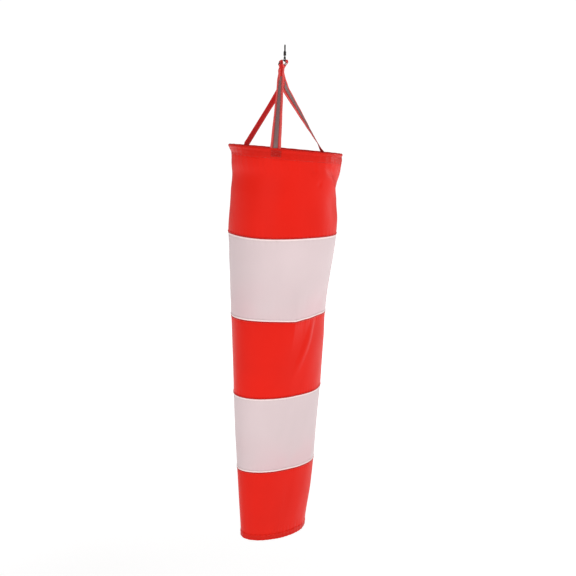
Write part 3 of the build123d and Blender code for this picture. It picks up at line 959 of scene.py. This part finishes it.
class WINDSOCK_OT_straps(bpy.types.Operator):
    """Make the three webbing straps, their reflective tapes and the stitching on both"""

    bl_idname = "windsock.straps"
    bl_label = "Straps and tapes"

    def execute(self, context):
        harness = context.scene.windsock_harness
        width, tape_width = harness.width / MM, harness.tape_width / MM
        for name in STRAP_FEET:
            length = strap_length(name)[0]

            def along_of(share):
                """The tab takes the first tenth of the strip."""
                return TAB_END * (1 - share / 0.1) if share < 0.1 else (share - 0.1) / 0.9

            def place(side, share):
                return strap_place(name, side, along_of(share), 0.0, width)

            def cut(side, share):
                return side * width / 2 * MM, along_of(share) * length * MM

            mesh = ribbon(12, 150, place, cut)
            # the left strap takes the darker copy of the webbing: painted shade
            piece = finished(f"strap_{name}_webbing", mesh, "sock", [f"strap_{name}"],
                             "shaded_webbing" if name == "left" else "webbing", harness.thickness, 0.0, 0.00035)

            reach = 0.93 if name == "front" else strap_length(name)[1] + 0.03

            def tape_place(side, share):
                return strap_place(name, side + TAPE_SHIFT[name], TAPE_START + reach * share, TAPE_LIFT,
                                   tape_width)

            tape = ribbon(6, 120, tape_place,
                          lambda side, share: (side * tape_width / 2 * MM, share * length * MM))
            finished(f"tape_{name}_reflective", tape, "sock", [f"reflective_tape_{name}"],
                     "tape", 0.0003, 0.0)
            alongs = [0.014 + (reach - 0.004) * n / 90 for n in range(91)]
            runs = [[(strap_place(name, edge + TAPE_SHIFT[name], along, TAPE_ROW_LIFT, tape_width),
                      strap_sides(name, along)[1]) for along in alongs] for edge in (-TAPE_ROW, TAPE_ROW)]
            sewn(f"tape_{name}_stitches", runs, "red_thread")
        return {"FINISHED"}


class WINDSOCK_OT_hem_boxes(bpy.types.Operator):
    """Sew each strap's tab through the hem with a boxed cross of stitches"""

    bl_idname = "windsock.hem_boxes"
    bl_label = "Boxed stitches"

    def execute(self, context):
        for name, foot in STRAP_FEET.items():
            reach = degrees(BOX_HALF / HOOP)
            corners = [(BOX_TOP, -reach), (BOX_TOP, reach), (BOX_FOOT, reach), (BOX_FOOT, -reach),
                       (BOX_TOP, -reach), (BOX_FOOT, reach), (BOX_FOOT, -reach), (BOX_TOP, reach)]
            run = []
            for (drop, swing), (next_drop, next_swing) in zip(corners, corners[1:]):
                for n in range(9):
                    share = n / 8
                    run.append(cloth_place(drop + (next_drop - drop) * share,
                                           foot + TAB_SWING + swing + (next_swing - swing) * share, 0.75))
            sewn(f"hem_box_{name}_stitches", [run], "red_thread")
        return {"FINISHED"}


class WINDSOCK_OT_loops(bpy.types.Operator):
    """Fold each strap over the ring and sew its end down behind it"""

    bl_idname = "windsock.loops"
    bl_label = "Ring loops"

    def execute(self, context):
        harness = context.scene.windsock_harness
        for name in LOOPS:
            mesh = ribbon(12, 90, lambda side, along: loop_place(name, side, along),
                          lambda side, along: (side * 0.0125, along * 0.09))
            finished(f"loop_{name}_webbing", mesh, "sock", ["strap_bundle"],
                     "webbing", harness.thickness * 0.9, 0.0, 0.0003)
        runs = []
        for along in (0.875, 0.885, 0.975, 0.985):
            runs.append([(strap_place("front", -0.85 + 0.17 * n, along, 1.0), strap_sides("front", along)[1])
                         for n in range(11)])
        sewn("gather_stitches", runs, "red_thread")
        return {"FINISHED"}


class WINDSOCK_OT_stage(bpy.types.Operator):
    """Set the pale floor, the soft studio light and the camera"""

    bl_idname = "windsock.stage"
    bl_label = "Stage"

    def execute(self, context):
        stage, scene = context.scene.windsock_stage, context.scene
        mesh = bmesh.new()
        bmesh.ops.create_circle(mesh, cap_ends=True, radius=14, segments=96,
                                matrix=Matrix.Translation((0, 0, stage.floor_drop)))
        data = bpy.data.meshes.new("floor")
        mesh.to_mesh(data)
        mesh.free()
        floor = bpy.data.objects.new("floor", data)
        scene.collection.objects.link(floor)
        shop = Finish("Pale floor")
        grain = shop.noise(shop.object_point(), 30.0, 4.0)
        away = shop.node("VectorMath", {"operation": "LENGTH"}, {0: shop.object_point()}, "Value")
        glow = shop.mix(shop.step(away, 2.2, 4.2), (0.5, 0.5, 0.5), (1, 1, 1))
        colour = shop.mix(grain * 0.2, (0.93, 0.93, 0.93), (0.91, 0.91, 0.91))
        # it gives off light, more of it far away, so that the ground is white up to the horizon
        data.materials.append(shop.made(Base_Color=colour, Roughness=grain * 0.1 + 0.8,
                                        Specular_IOR_Level=0.1, Emission_Color=glow, Emission_Strength=1.0))

        world = bpy.data.worlds.new("Studio")
        world.use_nodes = True
        scene.world = world
        nodes, links = world.node_tree.nodes, world.node_tree.links
        backdrop = nodes["Background"]
        backdrop.inputs[0].default_value = (1, 1, 1, 1)
        backdrop.inputs[1].default_value = 1.05
        soft = nodes.new("ShaderNodeBackground")
        soft.inputs[0].default_value = (1, 0.99, 0.985, 1)
        soft.inputs[1].default_value = 0.27
        seen = nodes.new("ShaderNodeLightPath")
        choice = nodes.new("ShaderNodeMixShader")
        links.new(seen.outputs["Is Camera Ray"], choice.inputs[0])
        links.new(soft.outputs[0], choice.inputs[1])
        links.new(backdrop.outputs[0], choice.inputs[2])
        links.new(choice.outputs[0], nodes["World Output"].inputs[0])

        for name, at, aim, size, power in (
            ("Key", (2.0, -2.2, 0.7), (0, 0, -0.6), 1.8, 28),
            ("Fill", (-1.6, -2.7, 0.3), (0, 0, -0.6), 2.2, 25),
            ("Right edge", (2.5, 1.0, -0.2), (0, 0, -0.3), 0.9, 13),
            ("Left edge", (-2.7, 0.6, -0.2), (0, 0, -0.6), 1.2, 0.8),
            ("Overhead", (0, 0, 2.2), (0, 0, -0.6), 2.5, 17),
        ):
            lamp = bpy.data.lights.new(name, "AREA")
            lamp.shape, lamp.size, lamp.energy = "DISK", size, power
            holder = bpy.data.objects.new(name, lamp)
            holder.location = at
            holder.rotation_euler = (Vector(aim) - Vector(at)).to_track_quat("-Z", "Y").to_euler()
            scene.collection.objects.link(holder)

        lens = bpy.data.cameras.new("Camera")
        lens.lens, lens.sensor_width = stage.lens, 36
        camera = bpy.data.objects.new("Camera", lens)
        camera.matrix_world = (Matrix.Translation(Vector(stage.camera_at))
                               @ Matrix.Rotation(math.pi / 2 - stage.camera_pitch, 4, "X")
                               @ Matrix.Rotation(stage.camera_roll, 4, "Z"))
        scene.collection.objects.link(camera)
        scene.camera = camera
        scene.view_settings.view_transform = "Standard"
        return {"FINISHED"}


class WINDSOCK_PT_panel(bpy.types.Panel):
    """Lists the windsock's pieces and settings"""

    bl_idname = "WINDSOCK_PT_panel"
    bl_label = "Windsock"
    bl_space_type = "VIEW_3D"
    bl_region_type = "UI"
    bl_category = "Windsock"

    def draw(self, context):
        for name in GROUPS:
            group, box = getattr(context.scene, name), self.layout.box()
            for key in group.__annotations__:
                box.prop(group, key)
        for maker in MAKERS:
            self.layout.operator(maker.bl_idname)


MAKERS = (WINDSOCK_OT_stage, WINDSOCK_OT_finishes, WINDSOCK_OT_metal, WINDSOCK_OT_bands,
          WINDSOCK_OT_mouth_hem, WINDSOCK_OT_seams, WINDSOCK_OT_tail_and_back, WINDSOCK_OT_straps,
          WINDSOCK_OT_hem_boxes, WINDSOCK_OT_loops)
GROUPS = {"windsock_cloth": WindsockCloth, "windsock_harness": WindsockHarness,
          "windsock_stage": WindsockStage}
CLASSES = (*GROUPS.values(), *MAKERS, WINDSOCK_PT_panel)


def register():
    for group in CLASSES:
        bpy.utils.register_class(group)
    for key, group in GROUPS.items():
        setattr(bpy.types.Scene, key, PointerProperty(type=group))


def unregister():
    for key in GROUPS:
        delattr(bpy.types.Scene, key)
    for group in reversed(CLASSES):
        bpy.utils.unregister_class(group)


def main():
    """Runs the operators in order."""
    register()
    for maker in MAKERS:
        getattr(bpy.ops.windsock, maker.bl_idname.split(".")[1])()


if __name__ == "__main__":
    main()
